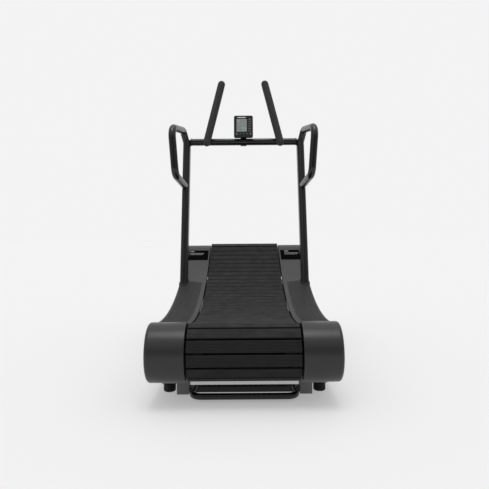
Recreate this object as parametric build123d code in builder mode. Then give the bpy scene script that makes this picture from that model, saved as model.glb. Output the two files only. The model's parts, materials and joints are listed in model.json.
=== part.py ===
from build123d import *
import os
from math import asin, cos, degrees, hypot, pi, radians, sin, sqrt, tan

# Curved manual treadmill. Millimetres, +Z up, +Y towards the front (the console end).
# Origin: middle of the overall box in X and Y, floor level in Z.

# --- Tread belt loop -----------------------------------------------------------------
REAR_Y, REAR_Z = -722.0, 197.2       # rear axle
FRONT_Y, FRONT_Z = 638.0, 482.3      # front axle
RUN_R = 1711.0                       # pitch line of the concave running surface
WRAP_R = 97.7                        # pitch line round the pulleys
SLAT_COUNT = 71
SLAT_HALF = 214.5                    # half length of a slat, across the belt
SLAT_WIDTH = 46.0
SLAT_THICK = 11.0
SLAT_BEVEL = 1.5
RIB_THICK, RIB_DEPTH, RIB_HALF = 5.0, 12.0, 150.0
BAND_X = (158.0, 188.0)              # drive band, on each side
BAND_THICK, BAND_PLAY = 5.0, 0.2
BAND_GAP = 1.5                       # half the gap between the bands of neighbouring stretches
BELT_PHASE = 0.27                    # place of the first slat, in pitches

# --- Axles, pulleys, bearings --------------------------------------------------------
AXLE_RADIUS, AXLE_HALF, AXLE_CHAMFER = 12.5, 245.5, 1.5
PULLEY_X, PULLEY_WEB_X = (156.0, 190.0), (168.0, 178.0)
PULLEY_RADIUS, PULLEY_RIM = WRAP_R - BAND_THICK - 0.3, 10.0
HUB_RADIUS = 24.5
BLOCK_X, BLOCK_SIZE, BLOCK_ROUND, BLOCK_BORE = (228.0, 246.0), 62.0, 8.0, 12.56
BLOCK_BOLTS = ((-22.0, 22.0), (22.0, -22.0))     # along the beam and out of the loop
BLOCK_HOLE, BLOCK_SINK, BLOCK_SINK_DEPTH = 4.2, 7.0, 6.0
CLUTCH_X, CLUTCH_RADIUS = (216.0, 228.0), 26.0
RAIL_X, RAIL_TOP, RAIL_BOTTOM = (208.0, 214.0), 1717.0, 1764.0
RAIL_END = 0.5                       # degrees between each end of the rail and its axle
BEARING_X, BEARING_RADIUS, BEARING_BORE = (196.0, 206.0), 13.0, 4.1
BEARING_PINS = ((191.5, 4.3, 6.5), (195.8, 24.2, 4.0), (206.2, 1.8, 6.0), (214.0, 5.0, 6.5))
BEARING_COUNT, BEARING_END = 22, 2.2  # how many, and degrees from the first one to the axle
BEARING_R = RUN_R + BEARING_RADIUS + 0.4

# --- Frame ---------------------------------------------------------------------------
BEAM_X, BEAM_R, BEAM_END = (246.0, 296.0), (1770.0, 1840.0), 1.1
BEAM_WALL = 4.0
TIE_R, TIE_WIDTH, TIE_WALL = (1764.0, 1794.0), 40.0, 3.0
TIE_ANGLES = (-7.0, 2.0, 11.0, 20.0, 29.0)
LEG_Y, LEG_BOTTOM, LEG_WALL, LEG_ROOT, LEG_PLUG = (600.0, 650.0), 62.0, 3.0, 12.0, 40.0
FRONT_BAR_Y, FRONT_BAR_Z, FRONT_BAR_WALL = (605.0, 645.0), (90.0, 130.0), 3.0
REAR_LEG_X, REAR_LEG_Y, REAR_LEG_Z = (225.0, 275.0), (-634.0, -584.0), (4.0, 184.0)
REAR_LEG_WALL = 3.0
PLATE_EDGE, PLATE_Y, PLATE_THICK = 338.5, (-618.0, -544.0), 6.0
REAR_BAR_Y, REAR_BAR_Z = (-620.0, -590.0), (8.0, 30.0)
HANDLE_TUBE, HANDLE_WALL, HANDLE_BEND = 12.5, 2.5, 38.0
HANDLE_HALF, HANDLE_END_Y, HANDLE_Z = 203.5, -730.0, 26.0
FORK_PLATE, FORK_EDGE, FORK_TOP_Z, FORK_HEEL = 5.0, 649.0, 150.0, (670.0, 734.8)
FORK_REACH = (12.0, 14.0)            # past the wheel's bolt, forward and up or down
SOCKET_Z, SOCKET_SIZE, SOCKET_PAD, SOCKET_PAD_THICK = 265.0, (60.0, 50.0), (34.0, 84.0), 6.0

# --- Side housings -------------------------------------------------------------------
HOUSING_X = (222.0, 371.0)           # inner and outer face
WALL = 3.0
FLANGE_X = 300.0                     # inner edge of the flange along the bottom
HOUSING_END = 0.03                   # degrees from the rear axle's radius to the first section
STRIP_X, STRIP_R = (222.0, 244.5), (1701.0, 1713.0)
RAIL_TOP_X, FOOT_R = (246.5, 367.5), 1703.0
FOOT_THICK, FOOT_RIB = 5.0, 4.0
LEDGE_R, SHELF_WIDTH, SHELF_PLAY = 1713.4, 12.0, 0.2
FRONT_TOP_R, FRONT_LIP, HOUSING_BOTTOM_R = 1708.0, 30.0, 1910.0
FRONT_COVER_START = 0.5
REAR_COVER_R, REAR_COVER_ROUND = 114.8, 13.0
AXLE_HOLE = 30.0
SEAM_Y = (207.0, 247.0)              # seam of foot rail and front cover, inner and outer end
SEAM_GAP, SEAM_MARGIN, SEAM_FAR, SEAM_HEIGHT = 0.8, 30.0, 1200.0, 900.0
LABEL_X, LABEL_ANGLES, LABEL_THICK = (230.0, 352.0), (30.0, 33.6), 1.5

# --- Uprights and handles ------------------------------------------------------------
UPRIGHT_X, UPRIGHT_LEAN = 348.0, 13.45
UPRIGHT_REF = (223.0, 403.0)         # Y, Z of a point on the upright's axis
UPRIGHT_Z = (225.0, 1228.0)
UPRIGHT_SIZE, UPRIGHT_WALL = (76.0, 43.5), 3.0
OPENING_Z, OPENING_LENGTH, OPENING_PLAY = 150.0, 500.0, 1.2
BAR_RADIUS, BAR_WALL, BAR_Z = 21.0, 3.0, 1224.0
LOOP_RADIUS = 20.5
LOOP_POINTS = ((348.0, 421.0, 1206.0), (368.5, 388.0, 1291.0), (395.5, 85.0, 1245.5),
               (374.5, 75.0, 983.0), (350.0, 352.0, 942.0))
LOOP_BENDS = (30.0, 75.0, 45.0)
GRIP_RADIUS, POST_RADIUS = 22.5, 16.0
GRIP_LOW, GRIP_HIGH = (223.0, 371.0, 1212.0), (135.4, 461.0, 1592.0)
LUG_HALF, LUG_START, LUG_PLAY = (10.0, 13.0), 377.0, 0.5

# --- Console -------------------------------------------------------------------------
PIVOT_Y, PIVOT_Z, CONSOLE_TILT = 412.0, 1262.0, 12.0
CONSOLE_W, CONSOLE_LOW, CONSOLE_HIGH = 116.0, -25.0, 116.0
CONSOLE_BACK, CONSOLE_SPLIT, CONSOLE_FRONT = 10.0, 20.0, 36.0
CONSOLE_CORNER, CONSOLE_WALL, CONSOLE_CHAMFER = 11.0, 2.5, 1.5
BACK_INSET, BACK_CAVITY_INSET = 4.0, 6.0
EAR_X, EAR_RADIUS, EAR_ARM = (11.6, 17.0), 8.5, 8.0
PIVOT_RADIUS, PIVOT_BORE = 3.0, 3.1
WINDOW_X, WINDOW_Y = (-42.0, 20.5), (10.4, 93.0)
DISPLAY_RIM, MODULE_DEPTH, MODULE_PLAY = 3.0, 6.0, 0.3
LENS_THICK, LENS_PLAY, LENS_SUNK = 1.6, 0.3, 0.6
KEY_PLAY, KEY_DEPTH, KEY_PROUD = 0.4, 5.0, 1.2
COLUMN_KEY_X, COLUMN_KEY_TOP, COLUMN_KEY_STEP, COLUMN_KEY_COUNT = 38.0, 90.5, 15.0, 6
COLUMN_KEY_SIZE, COLUMN_KEY_CORNER = (20.0, 8.5), 2.0
ROW_KEY_Y = -4.0
ROW_KEYS = (("key_stop", -40.0, 8.0), ("key_down", -19.0, 4.5), ("key_enter", 2.0, 4.5),
            ("key_up", 23.0, 4.5), ("key_start", 43.0, 8.0))
CLAMP_HALF, CLAMP_RING, CLAMP_BORE = 18.0, BAR_RADIUS + 5, BAR_RADIUS + 0.05
NECK_HALF, NECK_RADIUS = 11.0, 7.5
NECK_FOOT, NECK_TOP = ((-23.0, 18.0), 4.0), (7.0, 2.0)   # beside the bar, and beside the pivot

# --- Wheels, feet, fasteners, sensor -------------------------------------------------
WHEEL_RADIUS, WHEEL_BORE, WHEEL_X, WHEEL_ROUND = 42.0, 6.1, (257.0, 285.0), 4.0
WHEEL_RECESS, WHEEL_RECESS_DEPTH = (13.0, 28.0), 6.0
WHEEL_Y, WHEEL_Z = 794.8, 50.0
FOOT_PLACES = (("rear_foot", 313.0, -570.0, 44.0), ("front_foot", 271.0, 625.0, LEG_BOTTOM))
FOOT_RADIUS, FOOT_HEIGHT, FOOT_ROUND, FOOT_EDGE = 25.5, 34.0, 7.0, 2.0
FOOT_GROOVES, FOOT_GROOVE_WIDTH, FOOT_GROOVE_DEPTH = (10.0, 17.0, 24.0), 2.5, 2.0
STEM_RADIUS, STEM_BORE, STEM_REACH, STEM_HOLE_DEPTH = 6.0, 6.3, 28.0, 8.0
BLOCK_BOLT, BLOCK_BOLT_LENGTH, BLOCK_HEAD, BLOCK_HEAD_HEIGHT, HEAD_PLAY = 4.0, 24.0, 6.5, 5.0, 0.5
WHEEL_BOLT, WHEEL_BOLT_LENGTH = 6.0, 62.0
WHEEL_HEAD, WHEEL_HEAD_HEIGHT, WHEEL_NUT_HEIGHT = 9.0, 6.0, 7.0
STEM_NUT, STEM_NUT_HEIGHT = 10.0, 8.0
PIVOT_HEAD, PIVOT_HEAD_HEIGHT, PIVOT_HEAD_PLAY = 6.0, 4.5, 0.5
SENSOR_X, SENSOR_R, SENSOR_ANGLES = (-208.0, -194.0), (1735.0, 1752.0), (0.7, 1.3)

# --- Worked out from the above -------------------------------------------------------
AXLE_R = RUN_R + WRAP_R
RETURN_R = AXLE_R + WRAP_R
HALF_SPAN = hypot(FRONT_Y - REAR_Y, FRONT_Z - REAR_Z) / 2
RISE = sqrt(AXLE_R**2 - HALF_SPAN**2)
CENTRE_Y = (REAR_Y + FRONT_Y) / 2 - RISE * (FRONT_Z - REAR_Z) / (2 * HALF_SPAN)
CENTRE_Z = (REAR_Z + FRONT_Z) / 2 + RISE * (FRONT_Y - REAR_Y) / (2 * HALF_SPAN)
PHI_REAR = degrees(asin((REAR_Y - CENTRE_Y) / AXLE_R))
PHI_FRONT = degrees(asin((FRONT_Y - CENTRE_Y) / AXLE_R))
PHI_SWEEP = PHI_FRONT - PHI_REAR
RUN_LENGTH = RUN_R * radians(PHI_SWEEP)
WRAP_LENGTH = pi * WRAP_R
RETURN_LENGTH = RETURN_R * radians(PHI_SWEEP)
PITCH = (RUN_LENGTH + RETURN_LENGTH + 2 * WRAP_LENGTH) / SLAT_COUNT
UPRIGHT_SLOPE = tan(radians(UPRIGHT_LEAN))
UPRIGHT_LENGTH = (UPRIGHT_Z[1] - UPRIGHT_Z[0]) / cos(radians(UPRIGHT_LEAN))
BAR_Y = UPRIGHT_REF[0] + (BAR_Z - UPRIGHT_REF[1]) * UPRIGHT_SLOPE
SOCKET_Y = UPRIGHT_REF[0] + (SOCKET_Z - UPRIGHT_REF[1]) * UPRIGHT_SLOPE
SOCKET_FACE = UPRIGHT_X - UPRIGHT_SIZE[1] / 2
LUG_SLOPE = (GRIP_HIGH[0] - GRIP_LOW[0]) / (GRIP_HIGH[2] - GRIP_LOW[2])
LUG_X = GRIP_LOW[0] + (BAR_Z - GRIP_LOW[2]) * LUG_SLOPE

CENTRE = (CENTRE_Y, CENTRE_Z)
REAR = (REAR_Y, REAR_Z)
FRONT = (FRONT_Y, FRONT_Z)

os.makedirs("parts", exist_ok=True)


# --- Helpers -------------------------------------------------------------------------
def polar(centre, theta, radius):
    """Y and Z of a point at an angle (0 is straight down, 90 is forward) about a centre."""
    return (centre[0] + radius * sin(radians(theta)), centre[1] - radius * cos(radians(theta)))


def radial_plane(centre, theta):
    """Sketch plane through an axis along X: sketch x is X, sketch y is the radius."""
    return Plane(origin=(0, *centre), x_dir=(1, 0, 0),
                 z_dir=(0, cos(radians(theta)), sin(radians(theta))))


def section_plane(x, centre, theta, radius, outward=1):
    """Plane across X at a polar place: sketch y points away from the centre, or towards it for -1."""
    return Plane(origin=(x, *polar(centre, theta, radius)), z_dir=(1, 0, 0),
                 x_dir=(0, -outward * cos(radians(theta)), -outward * sin(radians(theta))))


def x_axis(centre):
    """Axis along X through a centre given as Y and Z."""
    return Axis((0, *centre), (1, 0, 0))


def rectangle(x, y, mode=Mode.ADD):
    """Rectangle between two x values and two y values."""
    with Locations(((x[0] + x[1]) / 2, (y[0] + y[1]) / 2)):
        Rectangle(x[1] - x[0], y[1] - y[0], mode=mode)


def save(builder, label):
    """Label a finished sub-part and write its STEP file."""
    builder.part.label = label
    export_step(builder.part, f"parts/{label}.step")


def save_pair(builder, name):
    """Write a right-hand sub-part and its mirrored left-hand twin."""
    with BuildPart() as twin:
        mirror(builder.part, about=Plane.YZ)
    save(builder, f"{name}_right")
    save(twin, f"{name}_left")


# --- Tread belt ----------------------------------------------------------------------
def belt_place(s):
    """Centre, angle and radius on the pitch line, s forward from the rear end of the run."""
    s = s % (SLAT_COUNT * PITCH)
    if s < RUN_LENGTH:
        return CENTRE, PHI_REAR + degrees(s / RUN_R), RUN_R
    s -= RUN_LENGTH
    if s < WRAP_LENGTH:
        return FRONT, PHI_FRONT + 180 - degrees(s / WRAP_R), WRAP_R
    s -= WRAP_LENGTH
    if s < RETURN_LENGTH:
        return CENTRE, PHI_FRONT - degrees(s / RETURN_R), RETURN_R
    s -= RETURN_LENGTH
    return REAR, PHI_REAR + 360 - degrees(s / WRAP_R), WRAP_R


def slat_plane(index):
    """Section plane of one slat, with its sketch y pointing out of the belt loop."""
    centre, theta, radius = belt_place((index + BELT_PHASE) * PITCH)
    return section_plane(0, centre, theta, radius, -1 if radius == RUN_R else 1)


with BuildPart() as slat:
    with BuildSketch():
        with BuildLine():
            Polyline((-SLAT_WIDTH / 2, 0), (SLAT_WIDTH / 2, 0),
                     (SLAT_WIDTH / 2, SLAT_THICK - SLAT_BEVEL), (SLAT_WIDTH / 2 - SLAT_BEVEL, SLAT_THICK),
                     (SLAT_BEVEL - SLAT_WIDTH / 2, SLAT_THICK), (-SLAT_WIDTH / 2, SLAT_THICK - SLAT_BEVEL),
                     close=True)
        make_face()
    extrude(amount=SLAT_HALF, both=True)
    with BuildSketch():
        rectangle((-RIB_THICK / 2, RIB_THICK / 2), (-RIB_DEPTH, 1))
    extrude(amount=RIB_HALF, both=True)


def build_belt(label, first, last, centre, start, sweep, pitch_r, inward):
    """One stretch of the belt: slats with their ribs, and a drive band on each side along its arc."""
    end_gap = degrees(BAND_GAP / pitch_r)
    radii = sorted((pitch_r + inward * BAND_PLAY, pitch_r + inward * (BAND_PLAY + BAND_THICK)))
    with BuildPart() as belt:
        with Locations(*[slat_plane(index).location for index in range(first, last + 1)]):
            add(slat.part)
        with BuildSketch(radial_plane(centre, start + end_gap)):
            rectangle(BAND_X, radii)
            rectangle((-BAND_X[1], -BAND_X[0]), radii)
        revolve(axis=x_axis(centre), revolution_arc=sweep - 2 * end_gap)
    save(belt, label)


build_belt("belt_top_run", 0, 27, CENTRE, PHI_REAR, PHI_SWEEP, RUN_R, 1)
build_belt("belt_front_wrap", 28, 33, FRONT, PHI_FRONT, 180, WRAP_R, -1)
build_belt("belt_return_run", 34, 64, CENTRE, PHI_REAR, PHI_SWEEP, RETURN_R, -1)
build_belt("belt_rear_wrap", 65, 70, REAR, PHI_REAR + 180, 180, WRAP_R, -1)


# --- Axles, pulleys, bearings --------------------------------------------------------
def build_axle(centre, name):
    """Axle through both bearing blocks, and the two pulleys that carry the drive bands."""
    with BuildPart() as axle:
        with BuildSketch(Plane.YZ):
            with Locations(centre):
                Circle(AXLE_RADIUS)
        extrude(amount=AXLE_HALF, both=True)
        chamfer(axle.edges().filter_by(GeomType.CIRCLE), length=AXLE_CHAMFER)
    save(axle, f"{name}_axle")
    with BuildPart() as pulleys:
        with BuildSketch(radial_plane(centre, 90)):
            rectangle(PULLEY_X, (PULLEY_RADIUS - PULLEY_RIM, PULLEY_RADIUS))
            rectangle(PULLEY_X, (AXLE_RADIUS, HUB_RADIUS))
            rectangle(PULLEY_WEB_X, (HUB_RADIUS, PULLEY_RADIUS - PULLEY_RIM))
        revolve(axis=x_axis(centre))
        mirror(about=Plane.YZ)
    save(pulleys, f"{name}_pulleys")


build_axle(REAR, "rear")
build_axle(FRONT, "front")

BLOCK_PLACES = ((REAR, PHI_REAR), (FRONT, PHI_FRONT))


def block_plane(x, centre, theta):
    """Plane on an axle's centre, square to the frame beam that ends there."""
    return Plane(origin=(x, *centre), x_dir=(0, cos(radians(theta)), sin(radians(theta))), z_dir=(1, 0, 0))


with BuildPart() as blocks:
    for centre, theta in BLOCK_PLACES:
        with BuildSketch(block_plane(BLOCK_X[0], centre, theta)):
            RectangleRounded(BLOCK_SIZE, BLOCK_SIZE, BLOCK_ROUND)
            Circle(BLOCK_BORE, mode=Mode.SUBTRACT)
            with Locations(*BLOCK_BOLTS):
                Circle(BLOCK_HOLE, mode=Mode.SUBTRACT)
        extrude(amount=BLOCK_X[1] - BLOCK_X[0])
        with BuildSketch(block_plane(BLOCK_X[0], centre, theta)):
            with Locations(*BLOCK_BOLTS):
                Circle(BLOCK_SINK)
        extrude(amount=BLOCK_SINK_DEPTH, mode=Mode.SUBTRACT)
    mirror(about=Plane.YZ)
save(blocks, "bearing_blocks")

with BuildPart() as clutch:
    with BuildSketch(Plane.YZ.offset(-CLUTCH_X[1])):
        with Locations(FRONT):
            Circle(CLUTCH_RADIUS)
            Circle(BLOCK_BORE, mode=Mode.SUBTRACT)
    extrude(amount=CLUTCH_X[1] - CLUTCH_X[0])
save(clutch, "one_way_bearing")

BEARING_STEP = (PHI_SWEEP - 2 * BEARING_END) / (BEARING_COUNT - 1)
BEARING_PLACES = [polar(CENTRE, PHI_REAR + BEARING_END + k * BEARING_STEP, BEARING_R)
                  for k in range(BEARING_COUNT)]

with BuildPart() as rail:
    with BuildSketch(radial_plane(CENTRE, PHI_REAR + RAIL_END)):
        rectangle(RAIL_X, (RAIL_TOP, RAIL_BOTTOM))
    revolve(axis=x_axis(CENTRE), revolution_arc=PHI_SWEEP - 2 * RAIL_END)
    with BuildSketch(Plane.YZ.offset(RAIL_X[0])):
        with Locations(*BEARING_PLACES):
            Circle(BEARING_BORE)
    extrude(amount=RAIL_X[1] - RAIL_X[0], mode=Mode.SUBTRACT)
save_pair(rail, "track_rail")

with BuildPart() as bearings:
    with BuildSketch(Plane.YZ.offset(BEARING_X[0])):
        with Locations(*BEARING_PLACES):
            Circle(BEARING_RADIUS)
            Circle(BEARING_BORE, mode=Mode.SUBTRACT)
    extrude(amount=BEARING_X[1] - BEARING_X[0])
    for x, length, radius in BEARING_PINS:
        with BuildSketch(Plane.YZ.offset(x)):
            with Locations(*BEARING_PLACES):
                Circle(radius)
        extrude(amount=length)
    mirror(about=Plane.YZ)
save(bearings, "track_bearings")

# --- Frame ---------------------------------------------------------------------------
LEG_MIDDLE = (LEG_Y[0] + LEG_Y[1]) / 2
LEG_TOP = polar(CENTRE, degrees(asin((LEG_MIDDLE - CENTRE_Y) / BEAM_R[1])), BEAM_R[1])[1]
REAR_FOOT_PLACE, FRONT_FOOT_PLACE = FOOT_PLACES[0][1:3], FOOT_PLACES[1][1:3]

with BuildPart() as side_frame:
    with BuildSketch(radial_plane(CENTRE, PHI_REAR - BEAM_END)):
        rectangle(BEAM_X, BEAM_R)
        rectangle((BEAM_X[0] + BEAM_WALL, BEAM_X[1] - BEAM_WALL),
                  (BEAM_R[0] + BEAM_WALL, BEAM_R[1] - BEAM_WALL), mode=Mode.SUBTRACT)
    revolve(axis=x_axis(CENTRE), revolution_arc=PHI_SWEEP + 2 * BEAM_END)
    with BuildSketch(Plane.XY.offset(LEG_BOTTOM)):
        rectangle(BEAM_X, LEG_Y)
    extrude(amount=LEG_TOP - LEG_BOTTOM + LEG_ROOT)
    with BuildSketch(Plane.XY.offset(LEG_BOTTOM + BEAM_WALL)):
        rectangle((BEAM_X[0] + LEG_WALL, BEAM_X[1] - LEG_WALL), (LEG_Y[0] + LEG_WALL, LEG_Y[1] - LEG_WALL))
    extrude(amount=LEG_TOP - LEG_BOTTOM - LEG_PLUG, mode=Mode.SUBTRACT)
    with BuildSketch(Plane.XY.offset(LEG_BOTTOM)):
        with Locations(FRONT_FOOT_PLACE):
            Circle(STEM_BORE)
    extrude(amount=STEM_HOLE_DEPTH, mode=Mode.SUBTRACT)
    for x in (BEAM_X[0], BEAM_X[1] - FORK_PLATE):
        with BuildSketch(Plane.YZ.offset(x)):
            with BuildLine():
                Polyline((FORK_EDGE, LEG_BOTTOM), (FORK_EDGE, FORK_TOP_Z),
                         (WHEEL_Y + FORK_REACH[0], WHEEL_Z + FORK_REACH[1]),
                         (WHEEL_Y + FORK_REACH[0], WHEEL_Z - FORK_REACH[1]),
                         (FORK_HEEL[1], WHEEL_Z - FORK_REACH[1]), (FORK_HEEL[0], LEG_BOTTOM), close=True)
            make_face()
            with Locations((WHEEL_Y, WHEEL_Z)):
                Circle(WHEEL_BORE, mode=Mode.SUBTRACT)
        extrude(amount=FORK_PLATE)
    with BuildSketch(Plane.YZ.offset(BEAM_X[1])):
        with Locations((SOCKET_Y, SOCKET_Z)):
            Rectangle(*SOCKET_SIZE)
    extrude(amount=SOCKET_FACE - BEAM_X[1] - SOCKET_PAD_THICK)
    with BuildSketch(Plane.YZ.offset(SOCKET_FACE - SOCKET_PAD_THICK)):
        with Locations((SOCKET_Y, SOCKET_Z)):
            Rectangle(*SOCKET_PAD, rotation=-UPRIGHT_LEAN)
    extrude(amount=SOCKET_PAD_THICK)
    for centre, theta in BLOCK_PLACES:
        with BuildSketch(block_plane(BEAM_X[0], centre, theta)):
            with Locations(*BLOCK_BOLTS):
                Circle(BLOCK_HOLE)
        extrude(amount=BEAM_WALL, mode=Mode.SUBTRACT)
save_pair(side_frame, "side_frame")

with BuildPart() as crossmembers:
    for angle in TIE_ANGLES:
        with BuildSketch(section_plane(-BEAM_X[0], CENTRE, angle, (TIE_R[0] + TIE_R[1]) / 2)):
            Rectangle(TIE_WIDTH, TIE_R[1] - TIE_R[0])
            Rectangle(TIE_WIDTH - 2 * TIE_WALL, TIE_R[1] - TIE_R[0] - 2 * TIE_WALL, mode=Mode.SUBTRACT)
        extrude(amount=2 * BEAM_X[0])
    with BuildSketch(Plane.YZ.offset(-BEAM_X[0])):
        rectangle(FRONT_BAR_Y, FRONT_BAR_Z)
        rectangle((FRONT_BAR_Y[0] + FRONT_BAR_WALL, FRONT_BAR_Y[1] - FRONT_BAR_WALL),
                  (FRONT_BAR_Z[0] + FRONT_BAR_WALL, FRONT_BAR_Z[1] - FRONT_BAR_WALL), mode=Mode.SUBTRACT)
    extrude(amount=2 * BEAM_X[0])
    with BuildSketch(Plane.YZ.offset(-REAR_LEG_X[0])):
        rectangle(REAR_BAR_Y, REAR_BAR_Z)
    extrude(amount=2 * REAR_LEG_X[0])
save(crossmembers, "frame_crossmembers")

with BuildPart() as rear_legs:
    with BuildSketch(Plane.XY.offset(REAR_LEG_Z[0])):
        rectangle(REAR_LEG_X, REAR_LEG_Y)
        rectangle((REAR_LEG_X[0] + REAR_LEG_WALL, REAR_LEG_X[1] - REAR_LEG_WALL),
                  (REAR_LEG_Y[0] + REAR_LEG_WALL, REAR_LEG_Y[1] - REAR_LEG_WALL), mode=Mode.SUBTRACT)
    extrude(amount=REAR_LEG_Z[1] - REAR_LEG_Z[0])
    with BuildSketch(Plane.XY.offset(FOOT_PLACES[0][3])):
        rectangle((REAR_LEG_X[1], PLATE_EDGE), PLATE_Y)
        with Locations(REAR_FOOT_PLACE):
            Circle(STEM_BORE, mode=Mode.SUBTRACT)
    extrude(amount=PLATE_THICK)
    with BuildSketch(Plane.YZ.offset(REAR_LEG_X[0])):
        with Locations(CENTRE):
            Circle(BEAM_R[1])
    extrude(amount=REAR_LEG_X[1] - REAR_LEG_X[0], mode=Mode.SUBTRACT)
    mirror(about=Plane.YZ)
save(rear_legs, "rear_leg_brackets")

with BuildPart() as lift_handle:
    with BuildLine() as lift_path:
        FilletPolyline((-HANDLE_HALF, REAR_BAR_Y[0], HANDLE_Z), (-HANDLE_HALF, HANDLE_END_Y, HANDLE_Z),
                       (HANDLE_HALF, HANDLE_END_Y, HANDLE_Z), (HANDLE_HALF, REAR_BAR_Y[0], HANDLE_Z),
                       radius=HANDLE_BEND)
    with BuildSketch(Plane(origin=lift_path.line @ 0, z_dir=lift_path.line % 0)):
        Circle(HANDLE_TUBE)
        Circle(HANDLE_TUBE - HANDLE_WALL, mode=Mode.SUBTRACT)
    sweep()
save(lift_handle, "lift_handle")

# --- Side housings -------------------------------------------------------------------
def seam_region(far, gap):
    """Plan outline of all that lies between the slanted seam and a far edge."""
    slope = (SEAM_Y[1] - SEAM_Y[0]) / (HOUSING_X[1] - HOUSING_X[0])
    x0, y0 = HOUSING_X[0] - SEAM_MARGIN, SEAM_Y[0] - SEAM_MARGIN * slope + gap
    x1, y1 = HOUSING_X[1] + SEAM_MARGIN, SEAM_Y[1] + SEAM_MARGIN * slope + gap
    Polygon((x0, y0), (x1, y1), (x1, far), (x0, far), align=None)


def upright_bar(z, length, grow):
    """Solid bar along an upright's axis, its flat-oval section grown or shrunk all round."""
    lean = radians(UPRIGHT_LEAN)
    y = UPRIGHT_REF[0] + (z - UPRIGHT_REF[1]) * UPRIGHT_SLOPE
    square = Plane(origin=(UPRIGHT_X, y, z), x_dir=(1, 0, 0), z_dir=(0, sin(lean), cos(lean)))
    with BuildPart() as bar:
        with BuildSketch(square):
            SlotOverall(UPRIGHT_SIZE[0] + 2 * grow, UPRIGHT_SIZE[1] + 2 * grow, rotation=90)
        extrude(amount=length)
    return bar.part


upright_opening = upright_bar(OPENING_Z, OPENING_LENGTH, OPENING_PLAY)
upright_outside = upright_bar(UPRIGHT_Z[0], UPRIGHT_LENGTH, 0)
upright_inside = upright_bar(UPRIGHT_Z[0], UPRIGHT_LENGTH - UPRIGHT_WALL, -UPRIGHT_WALL)

with BuildPart() as rear_cover:
    with BuildSketch(radial_plane(REAR, PHI_REAR + 180)):
        with BuildLine():
            Polyline((HOUSING_X[0], 0), (HOUSING_X[0], REAR_COVER_R),
                     (HOUSING_X[1] - REAR_COVER_ROUND, REAR_COVER_R))
            RadiusArc((HOUSING_X[1] - REAR_COVER_ROUND, REAR_COVER_R),
                      (HOUSING_X[1], REAR_COVER_R - REAR_COVER_ROUND), REAR_COVER_ROUND)
            Polyline((HOUSING_X[1], REAR_COVER_R - REAR_COVER_ROUND), (HOUSING_X[1], 0), (HOUSING_X[0], 0))
        make_face()
        with BuildLine():
            Polyline((HOUSING_X[0] + WALL, 0), (HOUSING_X[0] + WALL, REAR_COVER_R - WALL),
                     (HOUSING_X[1] - REAR_COVER_ROUND, REAR_COVER_R - WALL))
            RadiusArc((HOUSING_X[1] - REAR_COVER_ROUND, REAR_COVER_R - WALL),
                      (HOUSING_X[1] - WALL, REAR_COVER_R - REAR_COVER_ROUND), REAR_COVER_ROUND - WALL)
            Polyline((HOUSING_X[1] - WALL, REAR_COVER_R - REAR_COVER_ROUND), (HOUSING_X[1] - WALL, 0),
                     (HOUSING_X[0] + WALL, 0))
        make_face(mode=Mode.SUBTRACT)
    revolve(axis=x_axis(REAR), revolution_arc=180)
    with BuildSketch(Plane.YZ.offset(HOUSING_X[0])):
        with Locations(REAR):
            Circle(AXLE_HOLE)
    extrude(amount=WALL, mode=Mode.SUBTRACT)
save_pair(rear_cover, "rear_cover")

with BuildPart() as foot_rail:
    with BuildSketch(radial_plane(CENTRE, PHI_REAR + HOUSING_END)):
        rectangle(RAIL_TOP_X, (FOOT_R, FOOT_R + FOOT_THICK))
        rectangle((RAIL_TOP_X[0], RAIL_TOP_X[0] + FOOT_RIB), (FOOT_R, BEAM_R[0]))
        rectangle((STRIP_X[0] + FOOT_RIB, RAIL_TOP_X[0]), (LEDGE_R, LEDGE_R + FOOT_RIB))
        rectangle((BEAM_X[1] - FOOT_RIB, BEAM_X[1]), (FOOT_R, BEAM_R[0]))
    revolve(axis=x_axis(CENTRE), revolution_arc=PHI_SWEEP)
    with BuildSketch():
        seam_region(SEAM_FAR, 0)
    extrude(amount=SEAM_HEIGHT, mode=Mode.SUBTRACT)
    add(upright_opening, mode=Mode.SUBTRACT)
save_pair(foot_rail, "foot_rail")

with BuildPart() as strips:
    with BuildSketch(radial_plane(CENTRE, PHI_REAR + HOUSING_END)):
        rectangle(STRIP_X, STRIP_R)
    revolve(axis=x_axis(CENTRE), revolution_arc=PHI_SWEEP)
    with BuildSketch():
        seam_region(SEAM_FAR, 0)
    extrude(amount=SEAM_HEIGHT, mode=Mode.SUBTRACT)
    mirror(about=Plane.YZ)
save(strips, "edge_strips")

SHELF_R = FOOT_R + FOOT_THICK + SHELF_PLAY
with BuildPart() as skirt:
    with BuildSketch(radial_plane(CENTRE, PHI_REAR + HOUSING_END)):
        rectangle((HOUSING_X[1] - WALL, HOUSING_X[1]), (FOOT_R, HOUSING_BOTTOM_R))
        rectangle((FLANGE_X, HOUSING_X[1]), (HOUSING_BOTTOM_R - WALL, HOUSING_BOTTOM_R))
        rectangle((RAIL_TOP_X[1] - SHELF_WIDTH, HOUSING_X[1]), (SHELF_R, SHELF_R + WALL))
    revolve(axis=x_axis(CENTRE), revolution_arc=PHI_SWEEP)
    with BuildSketch():
        seam_region(SEAM_FAR, 0)
    extrude(amount=SEAM_HEIGHT, mode=Mode.SUBTRACT)
    add(upright_opening, mode=Mode.SUBTRACT)
save_pair(skirt, "side_skirt")

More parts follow.
